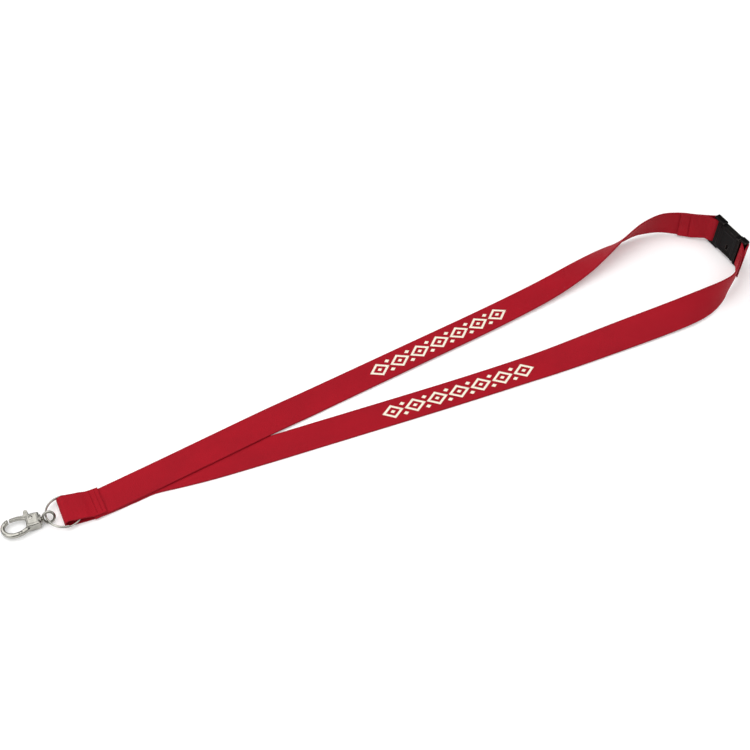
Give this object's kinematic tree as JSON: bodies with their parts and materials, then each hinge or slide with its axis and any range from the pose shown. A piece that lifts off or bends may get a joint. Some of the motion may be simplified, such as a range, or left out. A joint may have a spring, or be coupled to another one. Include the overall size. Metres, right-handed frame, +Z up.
{
  "type": "lanyard",
  "caption": "Neck lanyard of flat woven webbing with a breakaway neck buckle, a split ring sewn into the joined ends and a swivel trigger hook, lying in a loop.",
  "frame": {"origin": "centre of the lying lanyard's box, on the surface that it lies on", "axes": "+X runs along the lanyard from the hook to the neck buckle, +Z is up from the surface, +Y is towards the strap that crosses over the other at the sewn end"},
  "size_m": [0.5172, 0.0848, 0.0234],
  "materials": {
    "strap_webbing": "matt woven polyester, dark red",
    "stitch_thread": "polyester sewing thread",
    "buckle_plastic": "moulded black acetal, satin",
    "ring_nickel": "bright nickel plate on steel wire",
    "hook_nickel": "nickel plate on die-cast zinc",
    "spring_steel": "plain spring wire"
  },
  "bodies": {
    "webbing": {"far_strap": "strap_webbing", "near_strap": "strap_webbing", "ring_end_stitching": "stitch_thread", "far_end_stitching": "stitch_thread", "near_end_stitching": "stitch_thread", "buckle_socket": "buckle_plastic"},
    "plug": {"buckle_plug": "buckle_plastic"},
    "ring": {"split_ring": "ring_nickel"},
    "eye": {"swivel_eye": "hook_nickel"},
    "hook": {"hook_body": "hook_nickel", "gate_rivet": "hook_nickel", "gate_spring": "spring_steel"},
    "gate": {"gate_lever": "hook_nickel"}
  },
  "joints": [
    {"name": "buckle_release", "type": "slide", "parent": "webbing", "child": "plug", "axis": [0.1132, -0.9936, 0], "range_m": [0, 0.016], "deforming": ["near_strap"]},
    {"name": "ring_turn", "type": "hinge", "parent": "webbing", "child": "ring", "pos_m": [-0.22018, -0.00129, 0.00322], "axis": [0.0628, 0, 0.998], "range_deg": [-35, 35]},
    {"name": "eye_swing", "type": "hinge", "parent": "ring", "child": "eye", "pos_m": [-0.23126, -0.00129, 0.00392], "axis": [0, 1, 0], "range_deg": [-90, 90]},
    {"name": "hook_swivel", "type": "hinge", "parent": "eye", "child": "hook", "pos_m": [-0.22987, -0.00147, 0.00397], "axis": [-0.9909, 0.1287, -0.0384], "continuous": true},
    {"name": "gate_hinge", "type": "hinge", "parent": "hook", "child": "gate", "pos_m": [-0.2398, 0.00123, 0.00358], "axis": [-0.0381, 0.0049, 0.9993], "range_deg": [0, 28], "stiffness_Nm_per_rad": 0.02, "springref_deg": -20.05}
  ]
}
